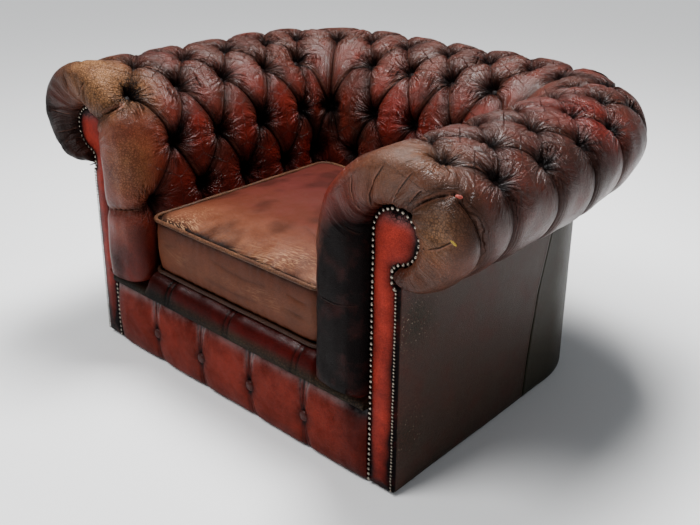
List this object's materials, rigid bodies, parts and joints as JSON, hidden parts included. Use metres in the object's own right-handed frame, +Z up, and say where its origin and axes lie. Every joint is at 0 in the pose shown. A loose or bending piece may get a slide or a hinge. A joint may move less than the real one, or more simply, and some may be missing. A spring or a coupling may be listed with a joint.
{
  "type": "worn club chair",
  "caption": "Low, wide leather club chair with deep-buttoned scroll arms and back, a loose seat cushion, nailed facings and a buttoned front border; worn and faded.",
  "frame": {"origin": "centre of the overall box in plan, at the underside of the glides", "axes": "+Z up, the seat opens toward -Y; seen from the front, left in the node names is -X and right is +X"},
  "size_m": [1.1734, 0.8883, 0.6394],
  "materials": {
    "leather_tufted": "aged, cracked gloss, worn to brown on the tops",
    "leather_facing": "aged satin",
    "leather_panel": "satin, scuffed",
    "leather_border": "aged satin with dark edges",
    "leather_cushion": "worn matt, scratched",
    "leather_piping": "worn pale",
    "leather_button": "satin",
    "nail_metal": "tarnished domes",
    "frame_wood": "rough sawn",
    "deck_cloth": "matt cloth over felt",
    "dust_cloth": "thin black cloth",
    "spring_steel": "drawn wire",
    "glide_steel": "pressed"
  },
  "bodies": {
    "root": {"arm_board_left": "frame_wood", "arm_board_right": "frame_wood", "arm_post_left": "frame_wood", "arm_post_right": "frame_wood", "back_board": "frame_wood", "back_post_left": "frame_wood", "back_post_right": "frame_wood", "border_button_1": "leather_button", "border_button_2": "leather_button", "border_button_3": "leather_button", "border_button_4": "leather_button", "corner_block_left": "frame_wood", "corner_block_right": "frame_wood", "corner_board_left": "frame_wood", "corner_board_right": "frame_wood", "corner_rail_left": "frame_wood", "corner_rail_right": "frame_wood", "cushion_piping_bottom": "leather_piping", "cushion_piping_top": "leather_piping", "deck_lip": "leather_border", "dust_cover": "dust_cloth", "facing_left": "leather_facing", "facing_right": "leather_facing", "front_border": "leather_border", "front_post_left": "frame_wood", "front_post_right": "frame_wood", "glide_front_left": "glide_steel", "glide_front_right": "glide_steel", "glide_rear_left": "glide_steel", "glide_rear_right": "glide_steel", "inside_arm_left": "leather_tufted", "inside_arm_right": "leather_tufted", "inside_back": "leather_tufted", "nails_left": "nail_metal", "nails_right": "nail_metal", "outside_arm_left": "leather_panel", "outside_arm_right": "leather_panel", "outside_back": "leather_panel", "seat_cushion": "leather_cushion", "seat_deck": "deck_cloth", "seat_rail_back": "frame_wood", "seat_rail_front": "frame_wood", "seat_rail_left": "frame_wood", "seat_rail_right": "frame_wood", "seat_spring_1": "spring_steel", "seat_spring_2": "spring_steel", "seat_spring_3": "spring_steel", "seat_spring_4": "spring_steel", "seat_spring_5": "spring_steel", "tacking_rail_back": "frame_wood", "tacking_rail_left": "frame_wood", "tacking_rail_right": "frame_wood"}
  },
  "joints": []
}
